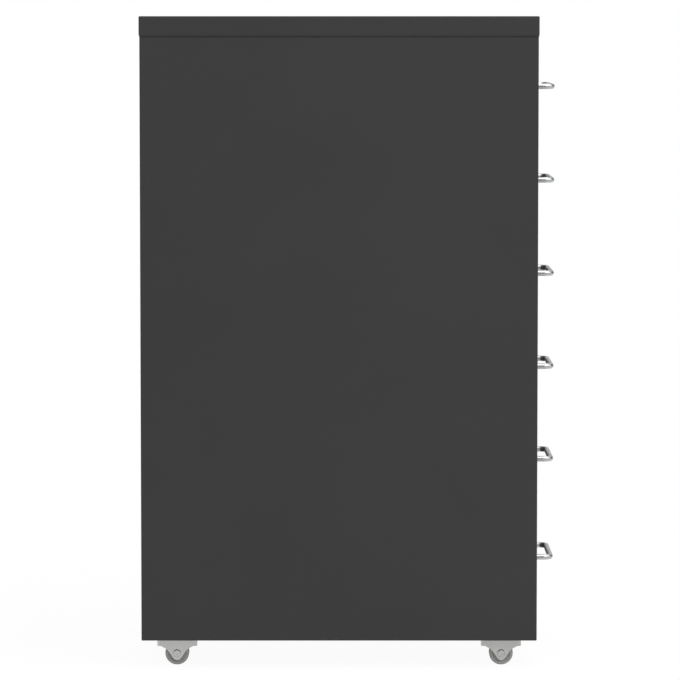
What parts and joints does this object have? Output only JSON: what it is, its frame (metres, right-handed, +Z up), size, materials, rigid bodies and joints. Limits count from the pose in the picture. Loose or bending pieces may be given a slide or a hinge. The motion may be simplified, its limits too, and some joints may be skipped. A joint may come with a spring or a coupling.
{
  "type": "drawer cabinet",
  "caption": "Narrow sheet-steel cabinet with a stack of drawers that slide on runners, round-bar bow handles and small fixed castors under the base.",
  "frame": {"origin": "on the floor, under the middle of the whole object with its handles", "axes": "+Z up, drawer fronts face -Y, X runs across the width"},
  "size_m": [0.2814, 0.4378, 0.683],
  "materials": {
    "case_paint": "fine-textured powder coat",
    "tray_paint": "thin powder coat",
    "galvanised_sheet": "galvanised",
    "zinc_pressing": "zinc-plated",
    "zinc_screw": "bright zinc",
    "chrome_plate": "mirror",
    "wheel_plastic": "moulded, satin",
    "buffer_rubber": "matt"
  },
  "bodies": {
    "case": {"left_side_panel": "case_paint", "right_side_panel": "case_paint", "back_panel": "case_paint", "top_cover": "case_paint", "base_pan": "case_paint", "top_rail": "case_paint", "bottom_rail": "case_paint", "left_rear_post": "galvanised_sheet", "right_rear_post": "galvanised_sheet", "left_runner_1": "galvanised_sheet", "right_runner_1": "galvanised_sheet", "left_runner_2": "galvanised_sheet", "right_runner_2": "galvanised_sheet", "left_runner_3": "galvanised_sheet", "right_runner_3": "galvanised_sheet", "left_runner_4": "galvanised_sheet", "right_runner_4": "galvanised_sheet", "left_runner_5": "galvanised_sheet", "right_runner_5": "galvanised_sheet", "left_runner_6": "galvanised_sheet", "right_runner_6": "galvanised_sheet", "runner_buffers": "buffer_rubber", "castor_housing_fl": "zinc_pressing", "castor_housing_fr": "zinc_pressing", "castor_housing_rl": "zinc_pressing", "castor_housing_rr": "zinc_pressing", "castor_rivet_fl": "zinc_pressing", "castor_rivet_fr": "zinc_pressing", "castor_rivet_rl": "zinc_pressing", "castor_rivet_rr": "zinc_pressing", "castor_screws": "zinc_screw", "castor_nuts": "zinc_screw"},
    "drawer_1": {"drawer_front_1": "case_paint", "drawer_tray_1": "tray_paint", "handle_1": "chrome_plate", "handle_screws_1": "zinc_screw"},
    "drawer_2": {"drawer_front_2": "case_paint", "drawer_tray_2": "tray_paint", "handle_2": "chrome_plate", "handle_screws_2": "zinc_screw"},
    "drawer_3": {"drawer_front_3": "case_paint", "drawer_tray_3": "tray_paint", "handle_3": "chrome_plate", "handle_screws_3": "zinc_screw"},
    "drawer_4": {"drawer_front_4": "case_paint", "drawer_tray_4": "tray_paint", "handle_4": "chrome_plate", "handle_screws_4": "zinc_screw"},
    "drawer_5": {"drawer_front_5": "case_paint", "drawer_tray_5": "tray_paint", "handle_5": "chrome_plate", "handle_screws_5": "zinc_screw"},
    "drawer_6": {"drawer_front_6": "case_paint", "drawer_tray_6": "tray_paint", "handle_6": "chrome_plate", "handle_screws_6": "zinc_screw"},
    "wheel_fl": {"castor_wheel_fl": "wheel_plastic"},
    "wheel_fr": {"castor_wheel_fr": "wheel_plastic"},
    "wheel_rl": {"castor_wheel_rl": "wheel_plastic"},
    "wheel_rr": {"castor_wheel_rr": "wheel_plastic"}
  },
  "joints": [
    {"name": "drawer_1_slide", "type": "slide", "parent": "case", "child": "drawer_1", "axis": [0, -1, 0], "range_m": [0, 0.3]},
    {"name": "drawer_2_slide", "type": "slide", "parent": "case", "child": "drawer_2", "axis": [0, -1, 0], "range_m": [0, 0.3]},
    {"name": "drawer_3_slide", "type": "slide", "parent": "case", "child": "drawer_3", "axis": [0, -1, 0], "range_m": [0, 0.3]},
    {"name": "drawer_4_slide", "type": "slide", "parent": "case", "child": "drawer_4", "axis": [0, -1, 0], "range_m": [0, 0.3]},
    {"name": "drawer_5_slide", "type": "slide", "parent": "case", "child": "drawer_5", "axis": [0, -1, 0], "range_m": [0, 0.3]},
    {"name": "drawer_6_slide", "type": "slide", "parent": "case", "child": "drawer_6", "axis": [0, -1, 0], "range_m": [0, 0.3]},
    {"name": "wheel_fl_spin", "type": "hinge", "parent": "case", "child": "wheel_fl", "pos_m": [-0.111, -0.16035, 0.0125], "axis": [1, 0, 0], "continuous": true},
    {"name": "wheel_fr_spin", "type": "hinge", "parent": "case", "child": "wheel_fr", "pos_m": [0.111, -0.16035, 0.0125], "axis": [1, 0, 0], "continuous": true},
    {"name": "wheel_rl_spin", "type": "hinge", "parent": "case", "child": "wheel_rl", "pos_m": [-0.111, 0.18165, 0.0125], "axis": [1, 0, 0], "continuous": true},
    {"name": "wheel_rr_spin", "type": "hinge", "parent": "case", "child": "wheel_rr", "pos_m": [0.111, 0.18165, 0.0125], "axis": [1, 0, 0], "continuous": true}
  ]
}
